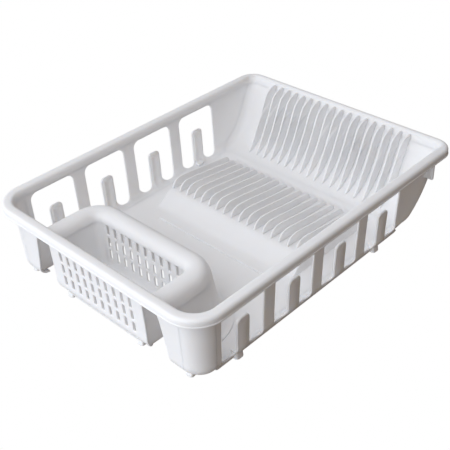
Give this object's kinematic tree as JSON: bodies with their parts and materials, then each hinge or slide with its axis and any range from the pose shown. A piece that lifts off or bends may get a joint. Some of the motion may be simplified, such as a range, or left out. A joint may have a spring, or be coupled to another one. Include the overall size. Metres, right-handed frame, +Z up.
{
  "type": "dish drying rack",
  "caption": "One-piece white plastic dish drying rack: rolled rim, slotted sides, rows of plate fins and a perforated cutlery basket moulded into one end.",
  "frame": {"origin": "centre of the footprint, on the surface the feet stand on", "axes": "+X along the length, from the cutlery basket end to the sloping end; +Y across, to the far side wall; +Z up"},
  "size_m": [0.483, 0.363, 0.102],
  "materials": {
    "white_plastic": "white polypropylene, satin moulded surface"
  },
  "bodies": {
    "root": {"rolled_rim": "white_plastic", "near_side_wall": "white_plastic", "far_side_wall": "white_plastic", "sloping_end_wall": "white_plastic", "near_corner_post": "white_plastic", "far_corner_post": "white_plastic", "divider_ridge": "white_plastic", "divider_wall": "white_plastic", "basket_outer_wall": "white_plastic", "basket_inner_wall": "white_plastic", "basket_near_flank": "white_plastic", "basket_far_flank": "white_plastic", "basket_floor": "white_plastic", "well_floor": "white_plastic", "floor_ramp": "white_plastic", "plate_floor": "white_plastic", "plate_fin_01": "white_plastic", "end_fin_01": "white_plastic", "plate_fin_02": "white_plastic", "end_fin_02": "white_plastic", "plate_fin_03": "white_plastic", "end_fin_03": "white_plastic", "plate_fin_04": "white_plastic", "end_fin_04": "white_plastic", "plate_fin_05": "white_plastic", "end_fin_05": "white_plastic", "plate_fin_06": "white_plastic", "end_fin_06": "white_plastic", "plate_fin_07": "white_plastic", "end_fin_07": "white_plastic", "plate_fin_08": "white_plastic", "end_fin_08": "white_plastic", "plate_fin_09": "white_plastic", "end_fin_09": "white_plastic", "plate_fin_10": "white_plastic", "end_fin_10": "white_plastic", "plate_fin_11": "white_plastic", "end_fin_11": "white_plastic", "plate_fin_12": "white_plastic", "end_fin_12": "white_plastic", "plate_fin_13": "white_plastic", "end_fin_13": "white_plastic", "plate_fin_14": "white_plastic", "end_fin_14": "white_plastic", "plate_fin_15": "white_plastic", "end_fin_15": "white_plastic", "plate_fin_16": "white_plastic", "end_fin_16": "white_plastic", "plate_fin_17": "white_plastic", "end_fin_17": "white_plastic", "plate_fin_18": "white_plastic", "end_fin_18": "white_plastic", "foot_near_basket": "white_plastic", "foot_near_slope": "white_plastic", "foot_far_basket": "white_plastic", "foot_far_slope": "white_plastic", "foot_near_corner": "white_plastic", "foot_far_corner": "white_plastic", "rim_gusset_near": "white_plastic", "rim_gusset_far": "white_plastic"}
  },
  "joints": []
}
